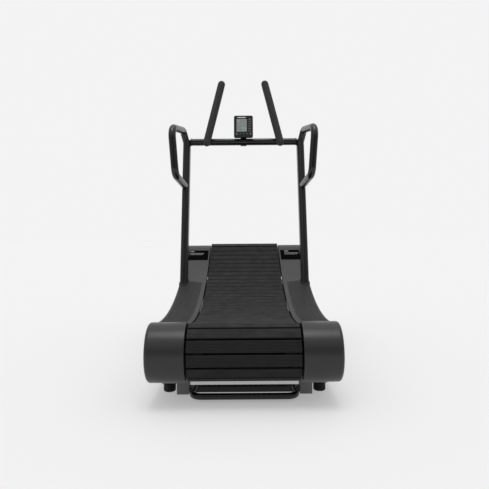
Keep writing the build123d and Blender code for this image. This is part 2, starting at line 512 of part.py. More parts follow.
with BuildPart() as front_cover:
    with BuildSketch(radial_plane(CENTRE, PHI_REAR + FRONT_COVER_START)):
        rectangle(HOUSING_X, (FRONT_TOP_R, FRONT_TOP_R + WALL))
        rectangle((HOUSING_X[0], HOUSING_X[0] + WALL), (FRONT_TOP_R, FRONT_TOP_R + FRONT_LIP))
        rectangle((HOUSING_X[1] - WALL, HOUSING_X[1]), (FRONT_TOP_R, HOUSING_BOTTOM_R))
        rectangle((FLANGE_X, HOUSING_X[1]), (HOUSING_BOTTOM_R - WALL, HOUSING_BOTTOM_R))
    revolve(axis=x_axis(CENTRE), revolution_arc=PHI_SWEEP - FRONT_COVER_START)
    with BuildSketch():
        seam_region(-SEAM_FAR, SEAM_GAP)
    extrude(amount=SEAM_HEIGHT, mode=Mode.SUBTRACT)
    with BuildSketch(radial_plane(FRONT, PHI_FRONT)):
        rectangle(HOUSING_X, (0, AXLE_R - FRONT_TOP_R))
        rectangle((HOUSING_X[0] + WALL, HOUSING_X[1] - WALL), (0, AXLE_R - FRONT_TOP_R - WALL),
                  mode=Mode.SUBTRACT)
    revolve(axis=x_axis(FRONT), revolution_arc=180)
    with BuildSketch(Plane.YZ.offset(HOUSING_X[0])):
        with Locations(FRONT):
            Circle(AXLE_HOLE)
    extrude(amount=WALL, mode=Mode.SUBTRACT)
    add(upright_opening, mode=Mode.SUBTRACT)
save_pair(front_cover, "front_cover")

with BuildPart() as labels:
    with BuildSketch(radial_plane(CENTRE, LABEL_ANGLES[0])):
        rectangle(LABEL_X, (FRONT_TOP_R - LABEL_THICK, FRONT_TOP_R))
    revolve(axis=x_axis(CENTRE), revolution_arc=LABEL_ANGLES[1] - LABEL_ANGLES[0])
    mirror(about=Plane.YZ)
save(labels, "label_plates")

# --- Uprights and handles ------------------------------------------------------------
with BuildPart() as upright:
    add(upright_outside)
    add(upright_inside, mode=Mode.SUBTRACT)
save_pair(upright, "upright")

with BuildPart() as loop_handle:
    with BuildLine() as loop_path:
        FilletPolyline(*LOOP_POINTS, radius=LOOP_BENDS)
    with BuildSketch(Plane(origin=loop_path.line @ 0, z_dir=loop_path.line % 0)):
        Circle(LOOP_RADIUS)
    sweep()
    add(upright_outside, mode=Mode.SUBTRACT)
save_pair(loop_handle, "loop_handle")

with BuildPart() as crossbar:
    with BuildSketch(Plane.YZ):
        with Locations((BAR_Y, BAR_Z)):
            Circle(BAR_RADIUS)
            Circle(BAR_RADIUS - BAR_WALL, mode=Mode.SUBTRACT)
    extrude(amount=SOCKET_FACE, both=True)
save(crossbar, "crossbar")

GRIP_LINE = Vector(*GRIP_HIGH) - Vector(*GRIP_LOW)
GRIP_PLANE = Plane(origin=GRIP_LOW, z_dir=GRIP_LINE)
LUG_PLANE = Plane(origin=(LUG_X, LUG_START, BAR_Z), x_dir=(1, 0, 0), z_dir=(0, 1, 0))


with BuildPart() as post:
    with BuildSketch(GRIP_PLANE):
        Circle(POST_RADIUS)
    extrude(amount=GRIP_LINE.length)
    with BuildSketch(LUG_PLANE):
        Rectangle(2 * LUG_HALF[0], 2 * LUG_HALF[1])
    extrude(amount=BAR_Y - LUG_START)
    with BuildSketch(Plane.YZ):
        with Locations((BAR_Y, BAR_Z)):
            Circle(BAR_RADIUS)
    extrude(amount=SOCKET_FACE, mode=Mode.SUBTRACT)
save_pair(post, "push_post")

with BuildPart() as grip:
    with BuildSketch(GRIP_PLANE):
        Circle(GRIP_RADIUS)
    extrude(amount=GRIP_LINE.length)
    with Locations(GRIP_PLANE.location, GRIP_PLANE.offset(GRIP_LINE.length).location):
        Sphere(GRIP_RADIUS)
    with BuildSketch(GRIP_PLANE):
        Circle(POST_RADIUS)
    extrude(amount=GRIP_LINE.length, mode=Mode.SUBTRACT)
    with BuildSketch(LUG_PLANE):
        Rectangle(2 * (LUG_HALF[0] + LUG_PLAY), 2 * (LUG_HALF[1] + LUG_PLAY))
    extrude(amount=BAR_Y - LUG_START, mode=Mode.SUBTRACT)
save_pair(grip, "push_grip")

# --- Console -------------------------------------------------------------------------
def console_plane(depth):
    """Plane parallel to the console's face: sketch y runs up it, the normal to the user."""
    tilt = radians(CONSOLE_TILT)
    plane = Plane(origin=(0, PIVOT_Y, PIVOT_Z), x_dir=(1, 0, 0), z_dir=(0, -cos(tilt), sin(tilt)))
    return plane.offset(depth)


def console_outline(shrink):
    """Rounded outline of the console, shrunk all round."""
    with Locations((0, (CONSOLE_LOW + CONSOLE_HIGH) / 2)):
        RectangleRounded(CONSOLE_W - 2 * shrink, CONSOLE_HIGH - CONSOLE_LOW - 2 * shrink,
                         CONSOLE_CORNER - shrink)


COLUMN_KEYS = {f"key_program_{k + 1}": COLUMN_KEY_TOP - k * COLUMN_KEY_STEP
               for k in range(COLUMN_KEY_COUNT)}
ROW_KEY_PLACES = {name: (x, radius) for name, x, radius in ROW_KEYS}
KEY_NAMES = [*COLUMN_KEYS, *ROW_KEY_PLACES]
FACE_OUTWARD = console_plane(0).z_dir


def key_sketch(name, grow):
    """Outline of one key: pills in the column, round keys in the row."""
    if name in COLUMN_KEYS:
        with Locations((COLUMN_KEY_X, COLUMN_KEYS[name])):
            RectangleRounded(COLUMN_KEY_SIZE[0] + 2 * grow, COLUMN_KEY_SIZE[1] + 2 * grow, COLUMN_KEY_CORNER)
    else:
        x, radius = ROW_KEY_PLACES[name]
        with Locations((x, ROW_KEY_Y)):
            Circle(radius + grow)


with BuildPart() as case:
    with BuildSketch(console_plane(CONSOLE_SPLIT)):
        console_outline(0)
    extrude(amount=CONSOLE_FRONT - CONSOLE_SPLIT)
    front_face = case.faces().sort_by(Axis((0, PIVOT_Y, PIVOT_Z), FACE_OUTWARD))[-1]
    chamfer(front_face.edges(), length=CONSOLE_CHAMFER)
    with BuildSketch(console_plane(CONSOLE_SPLIT)):
        console_outline(CONSOLE_WALL)
    extrude(amount=CONSOLE_FRONT - CONSOLE_SPLIT - CONSOLE_WALL, mode=Mode.SUBTRACT)
    with BuildSketch(console_plane(CONSOLE_SPLIT)):
        rectangle(WINDOW_X, WINDOW_Y)
        for name in KEY_NAMES:
            key_sketch(name, KEY_PLAY)
    extrude(amount=CONSOLE_FRONT - CONSOLE_SPLIT, mode=Mode.SUBTRACT)
save(case, "console_case")

with BuildPart() as console_back:
    with BuildSketch(console_plane(CONSOLE_BACK)):
        console_outline(BACK_INSET)
    with BuildSketch(console_plane(CONSOLE_SPLIT)):
        console_outline(0)
    loft()
    with BuildSketch(console_plane(CONSOLE_BACK + CONSOLE_WALL)):
        console_outline(BACK_CAVITY_INSET)
    extrude(amount=CONSOLE_SPLIT - CONSOLE_BACK, mode=Mode.SUBTRACT)
    for x in (EAR_X[0], -EAR_X[1]):
        with BuildSketch(Plane.YZ.offset(x)):
            rectangle((PIVOT_Y - CONSOLE_BACK - 1, PIVOT_Y), (PIVOT_Z - EAR_ARM, PIVOT_Z + EAR_ARM))
            with Locations((PIVOT_Y, PIVOT_Z)):
                Circle(EAR_RADIUS)
        extrude(amount=EAR_X[1] - EAR_X[0])
    with BuildSketch(Plane.YZ.offset(-EAR_X[1])):
        with Locations((PIVOT_Y, PIVOT_Z)):
            Circle(PIVOT_BORE)
    extrude(amount=2 * EAR_X[1], mode=Mode.SUBTRACT)
save(console_back, "console_back")

with BuildPart() as display:
    with BuildSketch(console_plane(CONSOLE_FRONT - LENS_SUNK - LENS_THICK)):
        rectangle((WINDOW_X[0] + LENS_PLAY, WINDOW_X[1] - LENS_PLAY),
                  (WINDOW_Y[0] + LENS_PLAY, WINDOW_Y[1] - LENS_PLAY))
    extrude(amount=LENS_THICK)
    with BuildSketch(console_plane(CONSOLE_FRONT - CONSOLE_WALL - MODULE_PLAY - MODULE_DEPTH)):
        rectangle((WINDOW_X[0] - DISPLAY_RIM, WINDOW_X[1] + DISPLAY_RIM),
                  (WINDOW_Y[0] - DISPLAY_RIM, WINDOW_Y[1] + DISPLAY_RIM))
    extrude(amount=MODULE_DEPTH)
save(display, "console_display")

for name in KEY_NAMES:
    with BuildPart() as key:
        with BuildSketch(console_plane(CONSOLE_FRONT + KEY_PROUD)):
            key_sketch(name, 0)
        extrude(amount=-KEY_DEPTH)
    save(key, name)

with BuildPart() as bracket:
    with BuildSketch(Plane.YZ):
        with Locations((BAR_Y, BAR_Z)):
            Circle(CLAMP_RING)
    extrude(amount=CLAMP_HALF, both=True)
    with BuildSketch(Plane.YZ):
        with BuildLine():
            Polyline((BAR_Y + NECK_FOOT[0][0], BAR_Z + NECK_FOOT[1]),
                     (BAR_Y + NECK_FOOT[0][1], BAR_Z + NECK_FOOT[1]),
                     (PIVOT_Y + NECK_TOP[0], PIVOT_Z + NECK_TOP[1]),
                     (PIVOT_Y - NECK_TOP[0], PIVOT_Z + NECK_TOP[1]), close=True)
        make_face()
        with Locations((PIVOT_Y, PIVOT_Z)):
            Circle(NECK_RADIUS)
    extrude(amount=NECK_HALF, both=True)
    with BuildSketch(Plane.YZ):
        with Locations((PIVOT_Y, PIVOT_Z)):
            Circle(PIVOT_BORE)
        with Locations((BAR_Y, BAR_Z)):
            Circle(CLAMP_BORE)
    extrude(amount=CLAMP_HALF, both=True, mode=Mode.SUBTRACT)
save(bracket, "console_bracket")

# --- Wheels and feet -----------------------------------------------------------------
with BuildPart() as wheel:
    with BuildSketch(Plane.YZ.offset(WHEEL_X[0])):
        with Locations((WHEEL_Y, WHEEL_Z)):
            Circle(WHEEL_RADIUS)
    extrude(amount=WHEEL_X[1] - WHEEL_X[0])
    fillet(wheel.edges().filter_by(GeomType.CIRCLE), radius=WHEEL_ROUND)
    with BuildSketch(Plane.YZ.offset(WHEEL_X[0])):
        with Locations((WHEEL_Y, WHEEL_Z)):
            Circle(WHEEL_BORE)
    extrude(amount=WHEEL_X[1] - WHEEL_X[0], mode=Mode.SUBTRACT)
    for x in (WHEEL_X[0], WHEEL_X[1] - WHEEL_RECESS_DEPTH):
        with BuildSketch(Plane.YZ.offset(x)):
            with Locations((WHEEL_Y, WHEEL_Z)):
                Circle(WHEEL_RECESS[1])
                Circle(WHEEL_RECESS[0], mode=Mode.SUBTRACT)
        extrude(amount=WHEEL_RECESS_DEPTH, mode=Mode.SUBTRACT)
save_pair(wheel, "transport_wheel")

for name, x, y, plate_z in FOOT_PLACES:
    edge, stem, top = x + FOOT_RADIUS, x + STEM_RADIUS, plate_z + STEM_REACH
    with BuildPart() as foot:
        with BuildSketch(Plane.XZ.offset(-y)):
            with BuildLine():
                Polyline((x, 0), (edge - FOOT_ROUND, 0))
                RadiusArc((edge - FOOT_ROUND, 0), (edge, FOOT_ROUND), -FOOT_ROUND)
                Polyline((edge, FOOT_ROUND), (edge, FOOT_HEIGHT - FOOT_EDGE),
                         (edge - FOOT_EDGE, FOOT_HEIGHT), (stem + FOOT_EDGE, FOOT_HEIGHT),
                         (stem, FOOT_HEIGHT + FOOT_EDGE), (stem, top), (x, top), (x, 0))
            make_face()
            for z in FOOT_GROOVES:
                rectangle((edge - FOOT_GROOVE_DEPTH, edge), (z, z + FOOT_GROOVE_WIDTH), mode=Mode.SUBTRACT)
        revolve(axis=Axis((x, y, 0), (0, 0, 1)))
    save_pair(foot, name)

# --- Fasteners -----------------------------------------------------------------------
WHEEL_FASTENERS = ((BEAM_X[0] - WHEEL_HEAD_HEIGHT, WHEEL_HEAD_HEIGHT), (BEAM_X[1], WHEEL_NUT_HEIGHT))
PIVOT_HEAD_X = EAR_X[1] + PIVOT_HEAD_PLAY

with BuildPart() as bolts:
    for centre, theta in BLOCK_PLACES:
        for radius, length in ((BLOCK_HEAD, BLOCK_HEAD_HEIGHT), (BLOCK_BOLT, BLOCK_BOLT_LENGTH)):
            with BuildSketch(block_plane(BLOCK_X[0] + HEAD_PLAY, centre, theta)):
                with Locations(*BLOCK_BOLTS):
                    Circle(radius)
            extrude(amount=length)
    for x, length in WHEEL_FASTENERS:
        with BuildSketch(Plane.YZ.offset(x)):
            with Locations((WHEEL_Y, WHEEL_Z)):
                RegularPolygon(WHEEL_HEAD, 6)
        extrude(amount=length)
    with BuildSketch(Plane.YZ.offset(BEAM_X[0] - WHEEL_HEAD_HEIGHT)):
        with Locations((WHEEL_Y, WHEEL_Z)):
            Circle(WHEEL_BOLT)
    extrude(amount=WHEEL_BOLT_LENGTH)
    with BuildSketch(Plane.XY.offset(FOOT_PLACES[0][3] + PLATE_THICK)):
        with Locations(REAR_FOOT_PLACE):
            RegularPolygon(STEM_NUT, 6)
            Circle(STEM_BORE, mode=Mode.SUBTRACT)
    extrude(amount=STEM_NUT_HEIGHT)
    mirror(about=Plane.YZ)
    with BuildSketch(Plane.YZ):
        with Locations((PIVOT_Y, PIVOT_Z)):
            Circle(PIVOT_RADIUS)
    extrude(amount=PIVOT_HEAD_X + PIVOT_HEAD_HEIGHT, both=True)
    with BuildSketch(Plane.YZ.offset(-PIVOT_HEAD_X)):
        with Locations((PIVOT_Y, PIVOT_Z)):
            Circle(PIVOT_HEAD)
    extrude(amount=-PIVOT_HEAD_HEIGHT)
    with BuildSketch(Plane.YZ.offset(PIVOT_HEAD_X)):
        with Locations((PIVOT_Y, PIVOT_Z)):
            RegularPolygon(PIVOT_HEAD, 6)
    extrude(amount=PIVOT_HEAD_HEIGHT)
save(bolts, "assembly_bolts")

with BuildPart() as sensor:
    with BuildSketch(radial_plane(CENTRE, PHI_REAR + SENSOR_ANGLES[0])):
        rectangle(SENSOR_X, SENSOR_R)
    revolve(axis=x_axis(CENTRE), revolution_arc=SENSOR_ANGLES[1] - SENSOR_ANGLES[0])
save(sensor, "speed_sensor")
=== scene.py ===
import bpy
import bmesh
import json
from math import asin, cos, hypot, pi, radians, sin, sqrt
from mathutils import Matrix, Vector


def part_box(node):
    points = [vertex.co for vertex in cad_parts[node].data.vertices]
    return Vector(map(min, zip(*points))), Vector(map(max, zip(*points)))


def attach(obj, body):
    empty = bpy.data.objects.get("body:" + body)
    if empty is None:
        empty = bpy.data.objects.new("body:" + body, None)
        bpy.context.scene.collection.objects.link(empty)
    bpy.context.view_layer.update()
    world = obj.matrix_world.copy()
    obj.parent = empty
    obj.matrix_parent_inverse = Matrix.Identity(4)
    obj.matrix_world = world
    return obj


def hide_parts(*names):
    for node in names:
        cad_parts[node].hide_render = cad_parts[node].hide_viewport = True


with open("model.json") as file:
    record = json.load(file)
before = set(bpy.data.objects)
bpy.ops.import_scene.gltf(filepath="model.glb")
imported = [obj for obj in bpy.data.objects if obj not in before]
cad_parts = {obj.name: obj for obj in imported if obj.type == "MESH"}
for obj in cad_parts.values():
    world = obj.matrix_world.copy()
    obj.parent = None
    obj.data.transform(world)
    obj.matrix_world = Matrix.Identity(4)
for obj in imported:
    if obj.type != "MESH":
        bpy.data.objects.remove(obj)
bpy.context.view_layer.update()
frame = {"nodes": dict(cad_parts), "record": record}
RECORD = frame["record"]
JOINTS = {joint["name"]: joint for joint in RECORD["behaviour"]["joints"]}
MM = 0.001
SIDES = (("left", -1), ("right", 1))


# --- The belt's path, read from the frame --------------------------------------------
def joint_yz(name):
    """Y and Z of a joint's place."""
    return tuple(JOINTS[name]["pos_m"][1:])


CENTRE = joint_yz("belt_run")
REAR = joint_yz("rear_roller_turn")
FRONT = joint_yz("front_roller_turn")
AXLE_R = hypot(REAR[0] - CENTRE[0], REAR[1] - CENTRE[1])
WRAP_R = 97.7 * MM
RUN_R = AXLE_R - WRAP_R
RETURN_R = AXLE_R + WRAP_R
PHI_REAR = asin((REAR[0] - CENTRE[0]) / AXLE_R)
PHI_FRONT = asin((FRONT[0] - CENTRE[0]) / AXLE_R)
PHI_SWEEP = PHI_FRONT - PHI_REAR
RUN_LENGTH = RUN_R * PHI_SWEEP
WRAP_LENGTH = pi * WRAP_R
RETURN_LENGTH = RETURN_R * PHI_SWEEP
# Body, CAD node and length of each stretch, in the order in which the belt travels.
BELT_STRETCHES = (
    ("belt_top", "belt_top_run", RUN_LENGTH),
    ("front_roller", "belt_front_wrap", WRAP_LENGTH),
    ("belt_return", "belt_return_run", RETURN_LENGTH),
    ("rear_roller", "belt_rear_wrap", WRAP_LENGTH))
SLAT_COUNT = 71
SLAT_PHASE = 0.27                     # first slat's middle, as a share of the pitch
PITCH = sum(length for _, _, length in BELT_STRETCHES) / SLAT_COUNT


def polar(centre, theta, radius):
    """Y and Z at an angle (0 is straight down, a quarter turn is forward) about a centre."""
    return centre[0] + radius * sin(theta), centre[1] - radius * cos(theta)


def belt_place(travel):
    """Y, Z and outward angle on the belt's pitch line, after a way from the rear of the top run."""
    if travel < RUN_LENGTH:
        phi = PHI_REAR + travel / RUN_R
        return *polar(CENTRE, phi, RUN_R), phi + pi
    travel -= RUN_LENGTH
    if travel < WRAP_LENGTH:
        theta = PHI_FRONT + pi - travel / WRAP_R
        return *polar(FRONT, theta, WRAP_R), theta
    travel -= WRAP_LENGTH
    if travel < RETURN_LENGTH:
        phi = PHI_FRONT - travel / RETURN_R
        return *polar(CENTRE, phi, RETURN_R), phi
    travel -= RETURN_LENGTH
    theta = PHI_REAR + 2 * pi - travel / WRAP_R
    return *polar(REAR, theta, WRAP_R), theta


# --- Mesh helpers --------------------------------------------------------------------
ARC_STEP = 18                         # degrees between the points of an arc


def add_object(name, bm, material):
    """Turns a bmesh into an object in the scene."""
    mesh = bpy.data.meshes.new(name)
    bm.to_mesh(mesh)
    bm.free()
    mesh.materials.append(material)
    obj = bpy.data.objects.new(name, mesh)
    bpy.context.scene.collection.objects.link(obj)
    return obj


def new_piece(name, bm, material, body, smooth_angle=35):
    """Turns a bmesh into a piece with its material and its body."""
    bmesh.ops.recalc_face_normals(bm, faces=bm.faces)
    piece = add_object(name, bm, material)
    piece.data.shade_smooth()
    piece.data.set_sharp_from_angle(angle=radians(smooth_angle))
    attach(piece, body)
    return piece


def loft(bm, rings, closed=False):
    """Skin through rings of equal length, with flat ends unless the rings close on themselves."""
    made = [[bm.verts.new(point) for point in ring] for ring in rings]
    count = len(made[0])
    pairs = list(zip(made, made[1:]))
    if closed:
        pairs.append((made[-1], made[0]))
    else:
        bm.faces.new(made[0])
        bm.faces.new(list(reversed(made[-1])))
    for a, b in pairs:
        for k in range(count):
            bm.faces.new((a[k], a[(k + 1) % count], b[(k + 1) % count], b[k]))


def turned(bm, centre, section, count=64, start=0.0, sweep=2 * pi):
    """Turns a closed section of (x, radius) points about an axis along X, all or part of the way round."""
    whole = sweep == 2 * pi
    turns = [start + sweep * k / count for k in range(count if whole else count + 1)]
    loft(bm, [[(x, *polar(centre, turn, radius)) for x, radius in section] for turn in turns], closed=whole)


def shrunk(outline, amount):
    """An outline with every point pulled towards the middle by the same amount."""
    x_middle = sum(x for x, _ in outline) / len(outline)
    y_middle = sum(y for _, y in outline) / len(outline)
    points = []
    for x, y in outline:
        away = hypot(x - x_middle, y - y_middle)
        scale = (away - amount) / away
        points.append((x_middle + (x - x_middle) * scale, y_middle + (y - y_middle) * scale))
    return points


def prism(bm, outline, half, place, inset=0.0):
    """Extrudes an outline of (forward, outward) points to both sides of X = 0, with inset ends."""
    y, z, theta = place
    steps = ((-half, 0), (half, 0))
    if inset:
        steps = ((-half, inset), (inset - half, 0), (half - inset, 0), (half, inset))
    loft(bm, [[(x, y - along * cos(theta) + out * sin(theta), z - along * sin(theta) - out * cos(theta))
               for along, out in shrunk(outline, shrink)] for x, shrink in steps])


def arc(x, y, radius, start, sweep=90):
    """Points of an arc about a centre, from a start angle, with both of its ends."""
    count = round(sweep / ARC_STEP)
    turns = [radians(start + sweep * k / count) for k in range(count + 1)]
    return [(x + radius * cos(turn), y + radius * sin(turn)) for turn in turns]


# --- Material helpers ----------------------------------------------------------------
MIX_A, MIX_B, MIX_RESULT = 6, 7, 2    # sockets of a Mix node that mixes colours


class Shader:
    """A node material, with short calls for the textures that the finishes share."""

    def __init__(self, name, colour, roughness, metallic=0.0, specular=0.5):
        self.material = bpy.data.materials.new(name)
        self.material.use_nodes = True
        self.nodes = self.material.node_tree.nodes
        self.links = self.material.node_tree.links
        self.bsdf = self.nodes["Principled BSDF"]
        self.bsdf.inputs["Metallic"].default_value = metallic
        self.bsdf.inputs["Specular IOR Level"].default_value = specular
        self.place = self.node("ShaderNodeTexCoord").outputs["Object"]
        self.colour = colour
        self.roughness = roughness
        self.shade = None
        self.height = None

    def node(self, kind, **values):
        """Adds a node, with its properties or its inputs' values."""
        made = self.nodes.new(kind)
        for key, value in values.items():
            if key in made.inputs:
                made.inputs[key].default_value = value
            else:
                setattr(made, key, value)
        return made

    def give(self, socket, value):
        """Links an input to another node's output, or sets it to a plain value."""
        if isinstance(value, bpy.types.NodeSocket):
            self.links.new(value, socket)
        else:
            socket.default_value = value

    def math(self, operation, first, second):
        """One math node on outputs or numbers."""
        made = self.node("ShaderNodeMath", operation=operation)
        self.give(made.inputs[0], first)
        self.give(made.inputs[1], second)
        return made.outputs[0]

    def mix(self, factor, first, second, blend="MIX"):
        """One mix of two colours, from outputs or plain values."""
        made = self.node("ShaderNodeMix", data_type="RGBA", blend_type=blend)
        self.give(made.inputs["Factor"], factor)
        self.give(made.inputs[MIX_A], first)
        self.give(made.inputs[MIX_B], second)
        return made.outputs[MIX_RESULT]

    def noise(self, scale, detail=3.0, rough=0.5, stretch=(1, 1, 1)):
        """Noise in object space, in metres; scale is the number of features in a metre."""
        mapping = self.node("ShaderNodeMapping", Scale=stretch)
        self.links.new(self.place, mapping.inputs["Vector"])
        made = self.node("ShaderNodeTexNoise", Scale=scale, Detail=detail, Roughness=rough)
        self.links.new(mapping.outputs[0], made.inputs["Vector"])
        return made.outputs["Fac"]

    def ramp(self, value, low, high, out_low=0.0, out_high=1.0):
        """Maps a value's range onto another, clamped."""
        made = self.node("ShaderNodeMapRange")
        self.links.new(value, made.inputs["Value"])
        for key, number in (("From Min", low), ("From Max", high), ("To Min", out_low), ("To Max", out_high)):
            made.inputs[key].default_value = number
        return made.outputs[0]

    def edges(self, radius):
        """1 along worn outer edges, 0 on flat stretches."""
        bevel = self.node("ShaderNodeBevel", samples=4, Radius=radius)
        geometry = self.node("ShaderNodeNewGeometry")
        dot = self.node("ShaderNodeVectorMath", operation="DOT_PRODUCT")
        self.links.new(bevel.outputs[0], dot.inputs[0])
        self.links.new(geometry.outputs["Normal"], dot.inputs[1])
        return self.ramp(dot.outputs["Value"], 0.995, 0.90)

    def tint(self, value, amount):
        """Lightens or darkens the colour with a 0-1 value: amount is the change from low to high."""
        shade = self.ramp(value, 0.0, 1.0, 1 - amount / 2, 1 + amount / 2)
        self.shade = shade if self.shade is None else self.math("MULTIPLY", self.shade, shade)

    def bump(self, value, depth):
        """Adds relief: depth in metres for a 0-1 value."""
        height = self.math("MULTIPLY", value, depth)
        self.height = height if self.height is None else self.math("ADD", self.height, height)

    def wear(self, radius, gain, amount):
        """Colour with its shade, and lighter along the edges: gain times as light, by the amount."""
        grey = self.node("ShaderNodeCombineColor")
        for socket in grey.inputs[:3]:
            self.links.new(self.shade, socket)
        colour = self.mix(1.0, (*self.colour, 1), grey.outputs[0], "MULTIPLY")
        worn = [gain * part for part in self.colour]
        colour = self.mix(self.math("MULTIPLY", self.edges(radius), amount), colour, (*worn, 1))
        self.links.new(colour, self.bsdf.inputs["Base Color"])

    def finish(self, rough_value, rough_swing):
        """Joins roughness and relief to the shader; a narrow bevel softens the hard edges."""
        low, high = self.roughness - rough_swing / 2, self.roughness + rough_swing / 2
        self.links.new(self.ramp(rough_value, 0.3, 0.7, low, high), self.bsdf.inputs["Roughness"])
        bevel = self.node("ShaderNodeBevel", samples=4, Radius=0.8 * MM)
        bump = self.node("ShaderNodeBump", Distance=1.0, Strength=1.0)
        self.links.new(bevel.outputs[0], bump.inputs["Normal"])
        self.links.new(self.height, bump.inputs["Height"])
        self.links.new(bump.outputs[0], self.bsdf.inputs["Normal"])
        return self.material


def moulded_plastic(name, colour, roughness=0.5, grain=900, depth=0.05, wear=0.35, specular=0.4):
    """Moulded plastic: spark-eroded grain, faint flow marks, scuffed edges."""
    shader = Shader(name, colour, roughness, specular=specular)
    shader.tint(shader.noise(6, 4, 0.55), 0.12)
    shader.tint(shader.noise(70, 3), 0.06)
    shader.bump(shader.noise(grain, 2, 0.6), depth * MM)
    shader.wear(1.2 * MM, 2.2, wear)
    return shader.finish(shader.noise(18, 4), 0.04)


def powder_coat(name, colour, roughness, wear=0.3):
    """Powder coat on metal: orange peel, fine speckle, polished and chipped edges."""
    shader = Shader(name, colour, roughness)
    shader.tint(shader.noise(9, 4), 0.15)
    shader.tint(shader.noise(1500, 1), 0.25)
    shader.bump(shader.noise(420, 2), 0.006 * MM)
    shader.bump(shader.noise(1300, 1), 0.003 * MM)
    shader.wear(1.0 * MM, 2.5, wear)
    return shader.finish(shader.noise(30, 3), 0.06)


def rubber(name, colour, roughness, grain=700, depth=0.08, dust=0.25, stretch=(1, 1, 1)):
    """Matt rubber: fine grain, faint dust, lighter worn edges."""
    shader = Shader(name, colour, roughness, specular=0.3)
    shader.tint(shader.noise(5, 5, 0.6), dust)
    shader.tint(shader.noise(120, 3), 0.15)
    shader.bump(shader.noise(grain, 2, 0.6, stretch), depth * MM)
    shader.wear(1.0 * MM, 1.9, 0.45)
    return shader.finish(shader.noise(24, 4), 0.16)


def machined(name, colour, roughness):
    """Turned or ground metal with fine tool marks."""
    shader = Shader(name, colour, roughness, metallic=1.0)
    shader.tint(shader.noise(40, 3), 0.12)
    shader.bump(shader.noise(90, 2, 0.5, (1, 40, 40)), 0.01 * MM)
    shader.wear(0.5 * MM, 1.3, 0.4)
    return shader.finish(shader.noise(60, 3), 0.12)


# --- Materials -----------------------------------------------------------------------
TREAD = rubber("tread_rubber_ribbed", (0.0065, 0.0065, 0.0068), 0.58, 500, 0.06, dust=0.2, stretch=(6, 1, 1))
SLAT_METAL = powder_coat("slat_extrusion_black", (0.004, 0.004, 0.0042), 0.55, wear=0.1)
BAND = rubber("band_rubber", (0.012, 0.012, 0.012), 0.55)
FRAME_PAINT = powder_coat("frame_powder_coat", (0.003, 0.003, 0.0032), 0.27)
BRACKET_PAINT = powder_coat("bracket_powder_coat", (0.17, 0.17, 0.173), 0.5)
HOUSING = moulded_plastic("housing_plastic_grain", (0.0225, 0.0225, 0.0232), 0.35, depth=0.012)
FOOT_RAIL = moulded_plastic("foot_rail_plastic_grain", (0.0135, 0.0135, 0.014))
STRIP = moulded_plastic("edge_strip_anodised", (0.024, 0.024, 0.0248), 0.42, 1200, 0.01)
LABEL = moulded_plastic("label_gloss", (0.005, 0.005, 0.005), 0.5, 2500, 0.005, wear=0.1, specular=0.0)
GRIP = rubber("grip_rubber_knurled", (0.032, 0.032, 0.0325), 0.6, 900)
CONSOLE = moulded_plastic("console_plastic_grain", (0.006, 0.007, 0.007), 0.42, 1400, 0.04)
DISPLAY = moulded_plastic("display_panel", (0.33, 0.375, 0.345), 0.25, 2500, 0.002, wear=0.0)
INK = moulded_plastic("display_ink", (0.035, 0.045, 0.04), 0.4, 2500, 0.002, wear=0.0)
LEGEND = moulded_plastic("pale_legend", (0.62, 0.63, 0.62), 0.45, 2500, 0.002, wear=0.0)
KEY_MARK = moulded_plastic("key_mark", (0.24, 0.24, 0.24), 0.5, 2500, 0.002, wear=0.0)
KEYS = rubber("key_rubber_soft", (0.075, 0.075, 0.075), 0.55, 1500, 0.02)
BOLTS = machined("bolt_black_oxide", (0.05, 0.05, 0.05), 0.4)
# The turned steel and the aluminium pulleys get a near-black colour as painted shade, so the axle and pulleys
# seen through the gaps between slats read as dark as the shade there.
STEEL = machined("steel_turned_painted_shade", (0.05, 0.05, 0.052), 0.42)
ALUMINIUM = machined("pulley_aluminium_painted_shade", (0.05, 0.05, 0.052), 0.45)
IRON = powder_coat("block_iron_painted", (0.03, 0.03, 0.031), 0.5)
WHEEL_RUBBER = rubber("wheel_rubber_solid", (0.018, 0.018, 0.018), 0.6)
FOOT = rubber("foot_rubber_ribbed", (0.010, 0.010, 0.0105), 0.6)

SLOT_MATERIALS = {
    "tread_rubber": TREAD, "machined_steel": STEEL, "pulley_aluminium": ALUMINIUM, "block_iron": IRON,
    "frame_paint": FRAME_PAINT, "bracket_paint": BRACKET_PAINT, "housing_plastic": HOUSING,
    "foot_rail_plastic": FOOT_RAIL, "strip_aluminium": STRIP, "label_black": LABEL, "grip_rubber": GRIP,
    "console_plastic": CONSOLE, "display_window": DISPLAY, "key_rubber": KEYS, "bolt_steel": BOLTS,
    "wheel_rubber": WHEEL_RUBBER, "foot_rubber": FOOT}


def dress_cad_nodes():
    """Gives every CAD node the finish of its slot."""
    for part in RECORD["subparts"]:
        obj = frame["nodes"][part["node"]]
        material = SLOT_MATERIALS[part["material_slot"]]
        if not obj.material_slots:
            obj.data.materials.append(material)
        for slot in obj.material_slots:
            slot.material = material


dress_cad_nodes()

# --- Belt ----------------------------------------------------------------------------
SLAT_HALF, SLAT_WIDTH, SLAT_TOP = 214.5 * MM, 46 * MM, 11 * MM
PAD_BOTTOM, PAD_ROUND, PAD_INSET = 4.4 * MM, 3.2 * MM, 0.8 * MM
GROOVE_COUNT, GROOVE_HALF, GROOVE_DEPTH, GROOVE_MARGIN = 8, 0.8 * MM, 0.9 * MM, 1 * MM
BASE_WIDTH, BASE_INSET, BASE_LIP, BASE_CHAMFER = 44.6 * MM, 1 * MM, 1.2 * MM, (0.5 * MM, 0.6 * MM)
RIB_HALF, RIB_THICK, RIB_DEPTH = 150 * MM, 5 * MM, 12 * MM
BAND_X, BAND_NEAR, BAND_FAR = (158 * MM, 188 * MM), 0.2 * MM, 5.2 * MM
BAND_GAP, BAND_STEP = 1.5 * MM, 6 * MM
GUARD_SECTION = ((191.5, 84), (214, 84), (214, 87), (191.5, 87))   # (x, radius) in mm
GUARD_POINTS = 32
